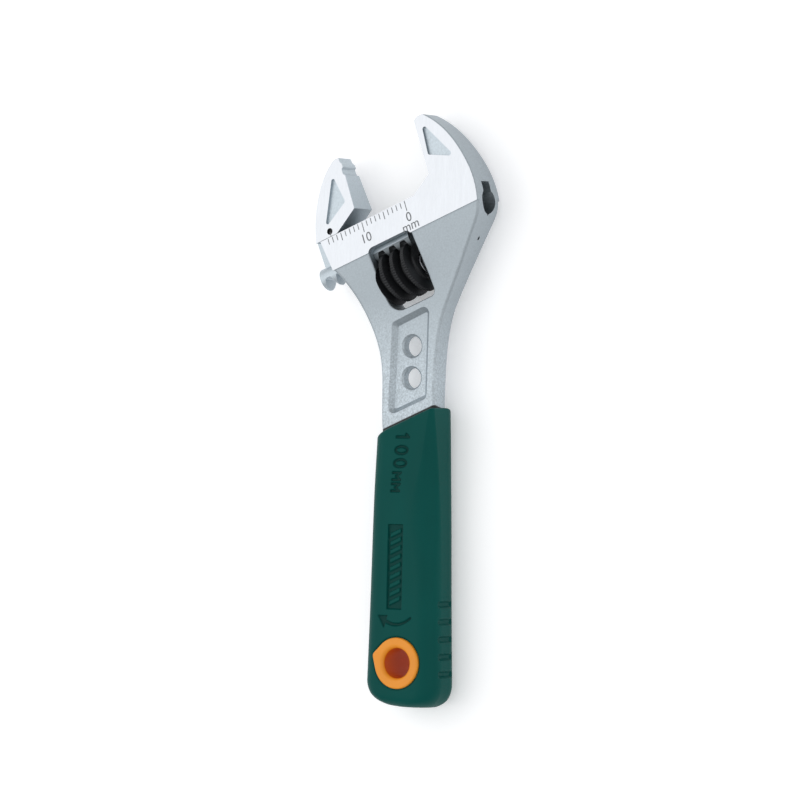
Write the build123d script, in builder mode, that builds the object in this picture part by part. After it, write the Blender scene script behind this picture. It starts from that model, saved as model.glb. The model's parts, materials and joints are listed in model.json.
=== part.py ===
from build123d import *
from math import atan, cos, degrees, pi, radians, sin, tan
import os

# Adjustable wrench lying flat, in millimetres.
# +X runs from the handle to the head, +Z is up through the thickness.

# ---- overall layout
mid_height = 4.9            # height of the wrench's middle plane above what it lies on
handle_y = -2.912           # sideways place of the handle's axis
throat_x = 40.969           # where the rail meets the fixed jaw
throat_y = -8.062
head_turn = 22.5            # the rail's slant against a square crossing of the handle

# ---- head, in rail coordinates: u along the rail to the fixed jaw, v from the rail to the jaw tips
opening = 17.35             # between the jaw faces, as modelled
face_half = 3.25            # half thickness of the polished faces at the rail
face_fall = 0.09            # how much thinner each polished face gets per mm of v
band_v = -6.15              # lower edge of the polished band
blank_half = 3.6            # half thickness of the forging at that edge
rail_gap = 0.08             # the movable jaw rides this far above the rail
rail_end = -26.4            # free end of the rail
jaw_root = 2.5              # height of the square part of the fixed jaw's face above the rail
hex_slope = 30              # slope of the throat, which clears the corner of a nut
slot_half = 1.3             # half width of the slot that guides the web
slot_end = -4.4             # the open slot stops here, short of the throat
key_top = -2.6              # top of the closed slot under the fixed jaw
bore_v = -6.25              # axis of the rack's round bore
bore_r = 2.2
window_left = -17.1
window_right = -7.1
window_top = -5.4
window_bottom = -18.2

# ---- rack and worm
pitch = 2.5
worm_v = -11.75             # the worm's axis
worm_r = 4.9
worm_root_r = 3.2
worm_left = -16.95
worm_right = -8.3
worm_bore_r = 1.25
tooth_land = 0.7            # width of the worm's ridge at its crest
flank = 20                  # slope of its sides
ridge_foot = 0.4            # the ridge is sunk this far into the worm's core
mesh_gap = 0.22             # clearance between ridge and rack tooth
first_gap = -8.1            # the rack gap nearest the fixed jaw, half of it past the bar's end
rack_gaps = 9
rack_r = 2.13
rack_left = -29.6
rack_right = -8.8
gap_top = -6.4
web_half = 1.2
web_left = -28.3
web_right = -21.9

# ---- worm pin and its spring
pin_r = 1.2
pin_head_r = 1.7
pin_head_length = 3.2
pin_left = -23.6
pin_right = -3.2
spring_wire = 0.4
spring_coil_r = 1.75
spring_turns = 5
pocket_r = 2.25
pocket_depth = 3.0

# ---- neck
neck_half = 2.0
side_ease = 0.6             # rounding along the forging's long edges
face_ease = 0.2             # rounding of the polished faces' outer edges
window_ease = 0.3
panel_depth = 0.9
neck_hole_r = 1.9
neck_hole_x = (11.8, 5.95)

# ---- handle
neck_end = -6.0             # the neck steps down to the tang here, inside the grip
tang_end = -39.0
core_end = -49.5
tang_half_width = 3.4
tang_half = 1.5
grip_bottom = -54.227
hang_x = -46.2
hang_r = 2.75
ring_r = 4.7
ring_point_r = 0.9
ring_lip = 0.8              # rounding of the hang hole's lips
ring_edge = 0.35


def rail_point(u, v):
    """A point of the head, given along and across the rail, on the handle's plane."""
    turn = radians(head_turn)
    x = throat_x + u * sin(turn) + v * cos(turn)
    y = throat_y - handle_y - u * cos(turn) + v * sin(turn)
    return (x, y)


handle = Plane(origin=(0, handle_y, mid_height))
head = Plane(
    origin=(throat_x, throat_y, mid_height),
    x_dir=(sin(radians(head_turn)), -cos(radians(head_turn)), 0),
    z_dir=(0, 0, 1),
)
across = Plane(origin=head.origin, x_dir=head.y_dir, z_dir=head.x_dir)     # v, z
front_face = Plane(
    origin=head.from_local_coords(Vector(0, 0, face_half)),
    x_dir=head.x_dir,
    z_dir=head.y_dir * face_fall + head.z_dir,
)


def rail_section(u):
    """A plane square to the rail at u, with v to the right and Z up."""
    return Plane(origin=head.from_local_coords(Vector(u, 0, 0)), x_dir=head.y_dir, z_dir=head.x_dir)


# ---------------------------------------------------------------- polished head slab
jaw_tip = 13.6
wedge_top = 16
wedge_bottom = band_v

with BuildPart() as slab:
    with BuildSketch(head):
        with BuildLine():
            rail = Polyline(
                (8.45, band_v), (rail_end + 1.0, band_v), (rail_end, 0),
                (-jaw_root / tan(radians(hex_slope)), 0), (0, jaw_root), (0, jaw_tip - 0.5),
            )
            tip = ThreePointArc(rail @ 1, (1.3, jaw_tip), (2.7, jaw_tip - 0.45))
            Spline(tip @ 1, (5.6, 9.4), (8.05, 3.5), (8.9, -1.6), (8.45, band_v))
        make_face()
    extrude(amount=6, both=True)
    with BuildSketch(across):
        with BuildLine():
            Polyline(
                (wedge_bottom, face_half - face_fall * wedge_bottom),
                (wedge_top, face_half - face_fall * wedge_top),
                (wedge_top, -face_half + face_fall * wedge_top),
                (wedge_bottom, -face_half + face_fall * wedge_bottom),
                close=True,
            )
        make_face()
    extrude(amount=60, both=True, mode=Mode.INTERSECT)
    fillet(edges().filter_by(GeomType.BSPLINE), radius=face_ease)

# ---------------------------------------------------------------- sunken triangle in the fixed jaw
with BuildPart() as fixed_triangle:
    with BuildSketch(front_face.offset(-0.45)):
        with BuildLine():
            Polyline((1.35, 12.3), (6.35, 3.35), (0.95, 5.95), close=True)
        make_face()
        fillet(vertices(), radius=0.45)
    extrude(amount=2)
    mirror(about=head)

# ---------------------------------------------------------------- sunken panel in the neck
with BuildPart() as neck_panel:
    with BuildSketch(handle.offset(neck_half - panel_depth)):
        with BuildLine():
            Polyline((16.0, 3.9), (19.6, -4.2), (2.3, -3.9), (-1.2, 4.5), close=True)
        make_face()
        fillet(vertices(), radius=1.2)
        offset(amount=-panel_depth, kind=Kind.ARC, mode=Mode.REPLACE)
    extrude(amount=2.0, taper=-45)
    mirror(about=handle)

# ---------------------------------------------------------------- body: jaw, rail, neck and tang
with BuildPart() as body:
    with BuildSketch(handle):
        with BuildLine():
            tang = Polyline(
                (neck_end, 5.5), (neck_end, tang_half_width), (tang_end, tang_half_width),
                (tang_end, -tang_half_width), (neck_end, -tang_half_width), (neck_end, -5.5), (2, -5.6),
            )
            neck_right = Spline(tang @ 1, (12.5, -6.15), (19.8, -8.0), tangents=((1, -0.02), (6.1, -2.75)))
            back_line = Line(neck_right @ 1, (33.4, -14.1))
            Spline(
                back_line @ 1, rail_point(7.4, -8.4), rail_point(8.45, band_v),
                tangents=((6.1, -2.75), (1.0, 0.2)),
            )
            band = Line(rail_point(8.45, band_v), rail_point(rail_end + 1.0, band_v))
            Spline(band @ 1, (21.4, 12.1), (15.7, 8.75), (9.5, 6.5), (3.5, 6.05), tang @ 0)
        make_face()
    extrude(amount=6, both=True)
    with BuildSketch(across):
        with BuildLine():
            far_end = Line((-110, 0), (-110, neck_half))
            flat = Line(far_end @ 1, (-22, neck_half))
            swell = Spline(flat @ 1, (-13, 2.72), (band_v, blank_half), tangents=((1, 0), (1, 0.1)))
            Polyline(swell @ 1, (10, blank_half), (10, 0))
            mirror(about=Plane.XZ)
        make_face()
    extrude(amount=90, both=True, mode=Mode.INTERSECT)
    long_edges = edges().filter_by(
        lambda edge: edge.length > 5
        and edge.center().X > neck_end
        and abs(edge.center().Z - mid_height) > neck_half / 2
        and head.to_local_coords(edge.center()).Y < band_v - 0.5
    )
    fillet(long_edges, radius=side_ease)

    # the tang is thinner than the neck
    with BuildSketch(handle.offset(tang_half)):
        with Locations((tang_end - 2, 0)):
            Rectangle(2 + neck_end - tang_end, 20, align=(Align.MIN, Align.CENTER))
    extrude(amount=4, mode=Mode.SUBTRACT)
    with BuildSketch(handle.offset(-tang_half)):
        with Locations((tang_end - 2, 0)):
            Rectangle(2 + neck_end - tang_end, 20, align=(Align.MIN, Align.CENTER))
    extrude(amount=-4, mode=Mode.SUBTRACT)

    add(slab.part)
    add(fixed_triangle.part, mode=Mode.SUBTRACT)
    add(neck_panel.part, mode=Mode.SUBTRACT)

    # window for the worm
    with BuildSketch(head):
        with BuildLine():
            Polyline(
                (window_left, window_top), (window_right, window_top),
                (window_right, window_bottom), (window_left, window_bottom), close=True,
            )
        make_face()
        fillet(vertices().group_by(Axis.Y)[-1], radius=1.2)
        fillet(vertices().group_by(Axis.Y)[0].sort_by(Axis.X)[0], radius=2.8)
        fillet(vertices().group_by(Axis.Y)[0].sort_by(Axis.X)[-1], radius=1.2)
    extrude(amount=8, both=True, mode=Mode.SUBTRACT)
    rim = edges(Select.LAST).filter_by(
        lambda edge: abs(edge.center().Z - mid_height) > neck_half
        and head.to_local_coords(edge.center()).Y < band_v - 0.1
    )
    fillet(rim, radius=window_ease)

    # open slot of the rail, keyhole slot under the fixed jaw, and the rack's bore
    with BuildSketch(head):
        with Locations((slot_end, 2)):
            Rectangle(40, 2 - bore_v, align=(Align.MAX, Align.MAX))
    extrude(amount=slot_half, both=True, mode=Mode.SUBTRACT)
    with BuildSketch(head):
        with Locations((12, key_top)):
            Rectangle(60, key_top - bore_v, align=(Align.MAX, Align.MAX))
    extrude(amount=slot_half, both=True, mode=Mode.SUBTRACT)
    with BuildSketch(rail_section(-40)):
        with Locations((bore_v, 0)):
            Circle(bore_r)
    extrude(amount=60, mode=Mode.SUBTRACT)

    # stepped hole for the worm pin: head, shank, and a fine drill mark out to the far side
    with BuildSketch(rail_section(pin_left - 6)):
        with Locations((worm_v, 0)):
            Circle(pin_head_r)
    extrude(amount=6 + pin_head_length, mode=Mode.SUBTRACT)
    with BuildSketch(rail_section(pin_left)):
        with Locations((worm_v, 0)):
            Circle(pin_r)
    extrude(amount=pin_right - pin_left, mode=Mode.SUBTRACT)
    with BuildSketch(rail_section(pin_right)):
        with Locations((worm_v, 0)):
            Circle(0.3)
    extrude(amount=12, mode=Mode.SUBTRACT)

    # two holes through the neck panel, countersunk from both faces
    with Locations(handle.offset(neck_half - panel_depth)):
        with Locations(*[(x, 0) for x in neck_hole_x]):
            CounterSinkHole(neck_hole_r, neck_hole_r + 0.35, counter_sink_angle=100)
    with Locations(Plane(handle.offset(panel_depth - neck_half).origin, x_dir=(1, 0, 0), z_dir=(0, 0, -1))):
        with Locations(*[(x, 0) for x in neck_hole_x]):
            CounterSinkHole(neck_hole_r, neck_hole_r + 0.35, counter_sink_angle=100)

body.part.label = "body"

# ---------------------------------------------------------------- movable jaw with web and rack
with BuildPart() as jaw_triangle:
    with BuildSketch(front_face.offset(-0.45)):
        with BuildLine():
            Polyline((-20.05, 10.9), (-18.85, 5.0), (-24.6, 1.9), close=True)
        make_face()
        fillet(vertices(), radius=0.4)
    extrude(amount=2)
    mirror(about=head)

with BuildPart() as rack_gap:
    gap_half = tooth_land / 2 + mesh_gap
    gap_bottom = bore_v - rack_r - 1
    gap_mouth = gap_half + (gap_top - gap_bottom) * tan(radians(flank))
    with BuildSketch(head):
        with BuildLine():
            Polyline(
                (-gap_half, gap_top), (gap_half, gap_top),
                (gap_mouth, gap_bottom), (-gap_mouth, gap_bottom), close=True,
            )
        make_face()
        fillet(vertices().group_by(Axis.Y)[-1], radius=0.3)
    extrude(amount=4, both=True)

with BuildPart() as movable_jaw:
    with BuildSketch(head):
        with BuildLine():
            face = Polyline(
                (-opening - 5.05, rail_gap), (-opening, 3.0), (-opening, 9.7), (-opening - 0.4, 10.0),
                (-opening - 0.4, 11.0), (-opening - 0.05, 11.3), (-opening - 0.05, 11.9),
                (-opening - 0.4, 12.5), (-opening - 0.45, 13.3), (-opening - 1.4, 13.4),
            )
            back = Spline(face @ 1, (-21.9, 11.05), (-24.6, 7.4), (-26.5, 3.2), (-27.35, rail_gap))
            Line(back @ 1, face @ 0)
        make_face()
    extrude(amount=6, both=True)
    with BuildSketch(across):
        with BuildLine():
            Polyline(
                (-1, face_half + face_fall), (wedge_top, face_half - face_fall * wedge_top),
                (wedge_top, -face_half + face_fall * wedge_top), (-1, -face_half - face_fall),
                close=True,
            )
        make_face()
    extrude(amount=60, both=True, mode=Mode.INTERSECT)
    add(jaw_triangle.part, mode=Mode.SUBTRACT)

    # index hole on the front face
    with BuildSketch(front_face.offset(-0.4)):
        with Locations((-23.8, 1.05)):
            Circle(0.62)
    extrude(amount=2, mode=Mode.SUBTRACT)

    # web down to the rack, and the low key that runs along the rack's whole length
    with BuildSketch(head):
        with Locations((web_left, 0.6)):
            Rectangle(web_right - web_left, 0.6 - bore_v, align=(Align.MIN, Align.MAX))
        with Locations((web_left, key_top - 0.15)):
            Rectangle(rack_right - web_left, key_top - 0.15 - bore_v, align=(Align.MIN, Align.MAX))
    extrude(amount=web_half, both=True)

    # round rack bar
    with BuildSketch(rail_section(rack_left)):
        with Locations((bore_v, 0)):
            Circle(rack_r)
    extrude(amount=rack_right - rack_left)
    lead = degrees(atan(pitch / (2 * pi * (worm_r + worm_root_r) / 2)))
    for gap in range(rack_gaps):
        centre = first_gap - pitch * gap
        turned = rack_gap.part.moved(
            Location(head) * Location((centre, 0, 0), (0, lead, 0)) * Location(head).inverse()
        )
        add(turned, mode=Mode.SUBTRACT)

movable_jaw.part.label = "movable_jaw"

# ---------------------------------------------------------------- worm
# The helix starts on the side away from the rail, half a turn before it faces a rack gap.
with BuildPart() as thread:
    thread_start = head.from_local_coords(Vector(first_gap - 5.5 * pitch, worm_v, 0))
    with BuildLine():
        ridge = Helix(pitch, pitch * 6, worm_root_r, center=thread_start, direction=head.x_dir)
    with BuildSketch(Plane(ridge @ 0, x_dir=(ridge @ 0) - thread_start, z_dir=ridge % 0)):
        with BuildLine():
            ridge_height = worm_r - worm_root_r
            crest_half = tooth_land / 2
            foot_half = crest_half + (ridge_height + ridge_foot) * tan(radians(flank))
            Polyline(
                (-ridge_foot, -foot_half), (ridge_height, -crest_half),
                (ridge_height, crest_half), (-ridge_foot, foot_half), close=True,
            )
        make_face()
    sweep(path=ridge, is_frenet=True)

with BuildPart() as worm_envelope:
    with BuildSketch(rail_section(worm_left)):
        with Locations((worm_v, 0)):
            Circle(worm_r + 0.01)
    extrude(amount=worm_right - worm_left)
    chamfer(edges().filter_by(GeomType.CIRCLE), length=0.5)

with BuildPart() as worm:
    with BuildSketch(rail_section(worm_left - 2 * pitch)):
        with Locations((worm_v, 0)):
            Circle(worm_root_r)
    extrude(amount=worm_right - worm_left + 4 * pitch)
    add(thread.part)
    add(worm_envelope.part, mode=Mode.INTERSECT)
    with BuildSketch(rail_section(worm_left - 1)):
        with Locations((worm_v, 0)):
            Circle(worm_bore_r)
    extrude(amount=worm_right - worm_left + 2, mode=Mode.SUBTRACT)
    with BuildSketch(rail_section(worm_right - pocket_depth)):
        with Locations((worm_v, 0)):
            Circle(pocket_r)
    extrude(amount=pocket_depth + 1, mode=Mode.SUBTRACT)

worm.part.label = "worm"

# ---------------------------------------------------------------- worm pin
with BuildPart() as worm_pin:
    with BuildSketch(rail_section(pin_left)):
        with Locations((worm_v, 0)):
            Circle(pin_head_r)
    extrude(amount=pin_head_length)
    with BuildSketch(rail_section(pin_left)):
        with Locations((worm_v, 0)):
            Circle(pin_r)
    extrude(amount=pin_right - pin_left)
    with BuildSketch(rail_section(pin_left)):
        with Locations((worm_v, 0)):
            Rectangle(5, 0.6)
    extrude(amount=0.8, mode=Mode.SUBTRACT)

worm_pin.part.label = "worm_pin"

# ---------------------------------------------------------------- spring that takes up the worm's play
with BuildPart() as worm_spring:
    spring_start = worm_right - pocket_depth + spring_wire / 2 + 0.05
    spring_length = window_right - spring_start - spring_wire / 2 - 0.05
    with BuildLine():
        coil = Helix(
            spring_length / spring_turns, spring_length, spring_coil_r,
            center=head.from_local_coords(Vector(spring_start, worm_v, 0)), direction=head.x_dir,
        )
    with BuildSketch(Plane(coil @ 0, z_dir=coil % 0)):
        Circle(spring_wire / 2)
    sweep(path=coil, is_frenet=True)

worm_spring.part.label = "worm_spring"

# ---------------------------------------------------------------- handle core with its hang ring
ring_half = mid_height

with BuildSketch(handle) as ring_outline:
    with Locations((hang_x, 0)):
        Circle(ring_r)
    with Locations((hang_x + 1.2, 4.2)):
        Circle(ring_point_r)
    make_hull()

with BuildPart() as ring_blank:
    with BuildSketch(handle):
        add(ring_outline.sketch_local)
        with Locations((hang_x, 0)):
            Circle(hang_r, mode=Mode.SUBTRACT)
    extrude(amount=ring_half, both=True)
    rims = faces().filter_by(Axis.Z).edges()
    hole_rims = rims.filter_by(lambda edge: edge.is_closed)
    fillet(rims.filter_by(lambda edge: not edge.is_closed), radius=ring_edge)
    fillet(hole_rims, radius=ring_lip)

with BuildPart() as handle_core:
    with BuildSketch(Plane(handle.offset(0).origin, x_dir=(0, 1, 0), z_dir=(1, 0, 0)).offset(neck_end)):
        RectangleRounded(9.2, 5.6, radius=1.6)
    extrude(amount=core_end - neck_end)
    add(ring_blank.part)
    with BuildSketch(handle):
        with Locations((0, 0)):
            Rectangle(-tang_end, 2 * tang_half_width, align=(Align.MAX, Align.CENTER))
    extrude(amount=tang_half, both=True, mode=Mode.SUBTRACT)
    with BuildSketch(handle):
        with Locations((hang_x, 0)):
            Circle(hang_r)
    extrude(amount=ring_half + 1, both=True, mode=Mode.SUBTRACT)

handle_core.part.label = "handle_core"

# ---------------------------------------------------------------- grip moulded over the core
grip_sections = ((5.0, 6.55, 4.3), (-18.0, 7.1, 4.4), (-38.0, 7.7, 4.6), (grip_bottom, 8.0, 4.7))
with BuildPart() as grip:
    for x, half_width, half in grip_sections:
        with BuildSketch(Plane((x, handle_y, mid_height), x_dir=(0, 1, 0), z_dir=(1, 0, 0))):
            RectangleRounded(2 * half_width, 2 * half, radius=3.2)
    loft()
    # the top edge slants like the rail
    with BuildSketch(handle):
        with BuildLine():
            Polyline((-5.4, 9), (2.2, -9), (12, -9), (12, 9), close=True)
        make_face()
    extrude(amount=8, both=True, mode=Mode.SUBTRACT)
    fillet(edges().group_by(Axis.X)[0], radius=2.0)
    # room for the neck, the tang, the core and its ring
    add(body.part, mode=Mode.SUBTRACT)
    add(handle_core.part, mode=Mode.SUBTRACT)
    with BuildSketch(handle):
        add(ring_outline.sketch_local)
    extrude(amount=ring_half + 1, both=True, mode=Mode.SUBTRACT)

grip.part.label = "grip"

# ---------------------------------------------------------------- one STEP file per piece
os.makedirs("parts", exist_ok=True)
for piece in (body, movable_jaw, worm, worm_pin, worm_spring, handle_core, grip):
    export_step(piece.part, f"parts/{piece.part.label}.step")
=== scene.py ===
"""Small adjustable wrench: finishes, moulded grip, knurled worm and scale, set round the fixed CAD frame.

Laid out as an add-on: each operator makes one piece or group of like pieces, and main() calls them in order.
Lengths in the settings are metres. Along the handle x rises towards the head, and w is the sideways distance
from the handle's middle. Along the head u runs with the rail to the fixed jaw, and v from the rail to the tips.
"""

import json
from math import cos, pi, radians, sin, tan

import bmesh
import bpy
import numpy as np
from mathutils import Matrix, Vector


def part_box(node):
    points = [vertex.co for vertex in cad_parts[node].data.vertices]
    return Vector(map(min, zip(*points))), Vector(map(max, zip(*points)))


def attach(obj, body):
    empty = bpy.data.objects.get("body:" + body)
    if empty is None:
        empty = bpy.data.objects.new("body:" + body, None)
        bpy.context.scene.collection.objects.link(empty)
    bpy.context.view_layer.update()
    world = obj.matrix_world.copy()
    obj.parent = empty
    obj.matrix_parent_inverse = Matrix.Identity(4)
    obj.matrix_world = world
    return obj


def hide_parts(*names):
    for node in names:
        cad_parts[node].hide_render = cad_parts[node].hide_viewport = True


bl_info = {
    "name": "Adjustable wrench finish",
    "version": (1, 0, 0),
    "blender": (4, 5, 0),
    "location": "View3D > Sidebar > Wrench",
    "description": "Makes the visible grip, worm, markings and finishes of a small adjustable wrench",
    "category": "Object",
}

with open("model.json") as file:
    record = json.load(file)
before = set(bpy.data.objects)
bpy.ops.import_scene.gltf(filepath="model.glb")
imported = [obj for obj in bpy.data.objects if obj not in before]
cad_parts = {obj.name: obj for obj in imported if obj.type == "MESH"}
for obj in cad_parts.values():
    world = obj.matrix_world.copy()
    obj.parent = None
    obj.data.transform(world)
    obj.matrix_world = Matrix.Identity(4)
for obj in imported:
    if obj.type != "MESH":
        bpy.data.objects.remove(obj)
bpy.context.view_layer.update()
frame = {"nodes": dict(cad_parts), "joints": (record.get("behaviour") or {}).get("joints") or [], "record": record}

MM = 0.001
RECORD = frame["record"]
MOUNTS = {mount["name"]: mount for mount in RECORD["mounts"]}
JOINTS = {joint["name"]: joint for joint in frame["joints"]}

HANG_HOLE = np.array(MOUNTS["hang_hole"]["pos_m"])
HANG_RADIUS = MOUNTS["hang_hole"]["dims"]["r_mm"] * MM
HANDLE_Y = HANG_HOLE[1]
MIDDLE_Z = HANG_HOLE[2]

# the rail's frame: its direction comes from the slide, its corner from the fixed jaw's face
ALONG = np.array(JOINTS["jaw_slide"]["axis"])
ACROSS = np.cross((0.0, 0.0, 1.0), ALONG)
FACE_POINT_V = 8.0 * MM          # the fixed jaw's mount point lies this far above the rail
RAIL_CORNER = np.array(MOUNTS["fixed_jaw_face"]["pos_m"]) - FACE_POINT_V * ACROSS
WORM_CENTRE = np.array(JOINTS["worm_spin"]["pos_m"])
PITCH = 2.5 * MM
FACE_HALF = 3.25 * MM            # the polished faces' half thickness at the rail
FACE_FALL = 0.09                 # and how fast it falls towards the tips
BORE_V = -6.25 * MM              # the rack's bore lies this far below the rail

# the grip's slanted top edge, and the teardrop outline of the hang ring
GRIP_TOP = -1.95 * MM
TOP_LEAN = 0.4222                # how far the top edge runs down the handle for each unit sideways
RING_RADIUS = 4.7 * MM
RING_TIP_RADIUS = 0.9 * MM
RING_TIP = (1.2 * MM, 4.2 * MM)


# ---------------------------------------------------------------- settings a user would change
class GripSettings(bpy.types.PropertyGroup):
    """Sizes and colours of the moulded handle."""
    head_width: bpy.props.FloatProperty(
        name="Width at the neck", description="Handle width beside the neck", default=13.1 * MM,
        unit="LENGTH")
    end_width: bpy.props.FloatProperty(
        name="Width at the end", description="Handle width beside the hang ring", default=15.9 * MM,
        unit="LENGTH")
    mark_depth: bpy.props.FloatProperty(
        name="Marking depth", description="Depth of the sunk figures and the arrow", default=0.28 * MM,
        unit="LENGTH")
    groove_depth: bpy.props.FloatProperty(
        name="Side groove depth", description="Depth of the finger grooves in both sides", default=0.55 * MM,
        unit="LENGTH")
    green: bpy.props.FloatVectorProperty(
        name="Elastomer", description="Colour of the moulded elastomer", default=(0.0, 0.070, 0.060),
        subtype="COLOR")
    orange: bpy.props.FloatVectorProperty(
        name="Core", description="Colour of the inner moulding and its ring", default=(0.86, 0.30, 0.012),
        subtype="COLOR")


class SteelSettings(bpy.types.PropertyGroup):
    """Colours of the metal finishes."""
    polished: bpy.props.FloatVectorProperty(
        name="Ground faces", description="Colour of the ground and polished faces",
        default=(0.64, 0.66, 0.69), subtype="COLOR")
    satin: bpy.props.FloatVectorProperty(
        name="Blasted surfaces", description="Colour of the blasted plating", default=(0.40, 0.445, 0.475),
        subtype="COLOR")
    black: bpy.props.FloatVectorProperty(
        name="Black oxide", description="Colour of the worm", default=(0.014, 0.015, 0.017), subtype="COLOR")


class WormSettings(bpy.types.PropertyGroup):
    """Sizes of the adjusting worm."""
    radius: bpy.props.FloatProperty(
        name="Crest radius", description="Outside radius of the ridge", default=4.9 * MM, unit="LENGTH")
    root_radius: bpy.props.FloatProperty(
        name="Root radius", description="Radius between the ridges", default=3.2 * MM, unit="LENGTH")
    notches: bpy.props.IntProperty(
        name="Knurl notches", description="Notches cut across the ridge in one turn", default=58)
    notch_depth: bpy.props.FloatProperty(
        name="Notch depth", description="Depth of each notch", default=0.13 * MM, unit="LENGTH")


class StudioSettings(bpy.types.PropertyGroup):
    """The floor, the lights and the camera."""
    turn: bpy.props.FloatProperty(
        name="View turn",
        description="How far the camera leans from straight above towards the fixed jaw's back",
        default=radians(33), subtype="ANGLE")
    roll: bpy.props.FloatProperty(
        name="Roll", description="How far the camera is rolled", default=radians(1), subtype="ANGLE")
    distance: bpy.props.FloatProperty(
        name="Distance", description="Camera distance", default=0.9, unit="LENGTH")
    lens: bpy.props.FloatProperty(
        name="Lens", description="Focal length in millimetres on a 36 mm sensor", default=220.7)
    backdrop: bpy.props.FloatVectorProperty(
        name="Floor", description="Colour of the floor", default=(0.93, 0.93, 0.935), subtype="COLOR")


# ---------------------------------------------------------------- shader building
class Wire:
    """One output in a material's tree. Arithmetic on it adds Math nodes."""

    def __init__(self, finish, socket):
        self.finish = finish
        self.socket = socket

    def math(self, operation, *values, **settings):
        inputs = dict(enumerate((self, *values)))
        return self.finish.node("ShaderNodeMath", {"operation": operation, **settings}, inputs)

    def __add__(self, other):
        return self.math("ADD", other)

    def __radd__(self, other):
        return self.math("ADD", other)

    def __sub__(self, other):
        return self.math("SUBTRACT", other)

    def __rsub__(self, other):
        return (self * -1) + other

    def __mul__(self, other):
        return self.math("MULTIPLY", other)

    def __rmul__(self, other):
        return self.math("MULTIPLY", other)

    def __truediv__(self, other):
        return self.math("DIVIDE", other)

    def clamped(self):
        return self.math("ADD", 0.0, use_clamp=True)


class Finish:
    """A procedural material. node() adds any node, and the other methods are patterns the finishes share."""

    def __init__(self, name):
        self.material = bpy.data.materials.new(name)
        self.material.use_nodes = True
        self.tree = self.material.node_tree
        self.tree.nodes.clear()
        self.place = self.node("ShaderNodeTexCoord", output="Object")

    def node(self, kind, settings=None, inputs=None, output=0):
        """Adds a node, sets it up, gives its sockets values or links, and returns one output."""
        made = self.tree.nodes.new(kind)
        for name, value in (settings or {}).items():
            if name == "stops":
                self.set_stops(made.color_ramp, value)
            else:
                setattr(made, name, value)
        for key, value in (inputs or {}).items():
            if isinstance(value, Wire):
                self.tree.links.new(value.socket, made.inputs[key])
            else:
                made.inputs[key].default_value = value
        return Wire(self, made.outputs[output]) if len(made.outputs) else made

    def set_stops(self, ramp, stops):
        while len(ramp.elements) < len(stops):
            ramp.elements.new(0.5)
        for element, (position, value) in zip(ramp.elements, stops):
            element.position = position
            element.color = (value, value, value, 1)

    def noise(self, size, detail=3.0, roughness=0.55, stretch=(1, 1, 1), turn=0.0):
        """Noise whose features are about the given size in metres, stretched and turned about Z if asked."""
        where = self.place
        if stretch != (1, 1, 1) or turn:
            where = self.node("ShaderNodeMapping", {"vector_type": "TEXTURE"}, {
                "Vector": self.place, "Rotation": (0, 0, turn), "Scale": stretch})
        return self.node("ShaderNodeTexNoise", None, {
            "Vector": where, "Scale": 1 / size, "Detail": detail, "Roughness": roughness})

    def ramp(self, value, *stops):
        return self.node("ShaderNodeValToRGB", {"stops": stops}, {"Fac": value})

    def mix(self, factor, first, second, blend="MIX"):
        """A colour mixed from two colours."""
        settings = {"data_type": "RGBA", "blend_type": blend}
        return self.node("ShaderNodeMix", settings, {0: factor, 6: first, 7: second}, output=2)

    def bump(self, height, distance, strength=1.0, after=None):
        inputs = {"Height": height, "Distance": distance, "Strength": strength}
        if after is not None:
            inputs["Normal"] = after
        return self.node("ShaderNodeBump", None, inputs)

    def surface(self, **inputs):
        """Ends the tree in a Principled surface. Keywords are its sockets' names, with _ for a space."""
        shader = self.node("ShaderNodeBsdfPrincipled", None, {
            key.replace("_", " "): value for key, value in inputs.items()})
        self.node("ShaderNodeOutputMaterial", None, {"Surface": shader})
        return self.material


def shade(colour, amount):
    """A colour made lighter or darker, as four numbers."""
    return tuple(channel * amount for channel in colour) + (1.0,)


def polished_finish(name, settings):
    """Ground steel: straight fine brush lines, soft patches and a few handling scratches."""
    finish = Finish(name)
    fine = finish.noise(0.10 * MM, 4, 0.7, stretch=(26, 1, 1), turn=radians(4))
    broad = finish.noise(0.5 * MM, 3, 0.6, stretch=(14, 1, 1), turn=radians(4))
    patch = finish.noise(7 * MM, 2)
    scratch = finish.ramp(
        finish.noise(0.6 * MM, 2, 0.5, stretch=(18, 0.6, 1), turn=radians(-38)), (0.70, 0), (0.74, 1))
    lines = fine * 0.6 + broad * 0.4
    tone = finish.mix(
        (lines * 1.6 - 0.3).clamped(), shade(settings.polished, 0.88), shade(settings.polished, 1.10))
    tone = finish.mix(scratch * 0.30, tone, shade(settings.polished, 0.78))
    return finish.surface(
        Base_Color=tone, Metallic=1.0, Roughness=0.26 + lines * 0.12 + patch * 0.06,
        Normal=finish.bump(lines - scratch * 0.6, 0.006 * MM, 0.5))


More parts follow.
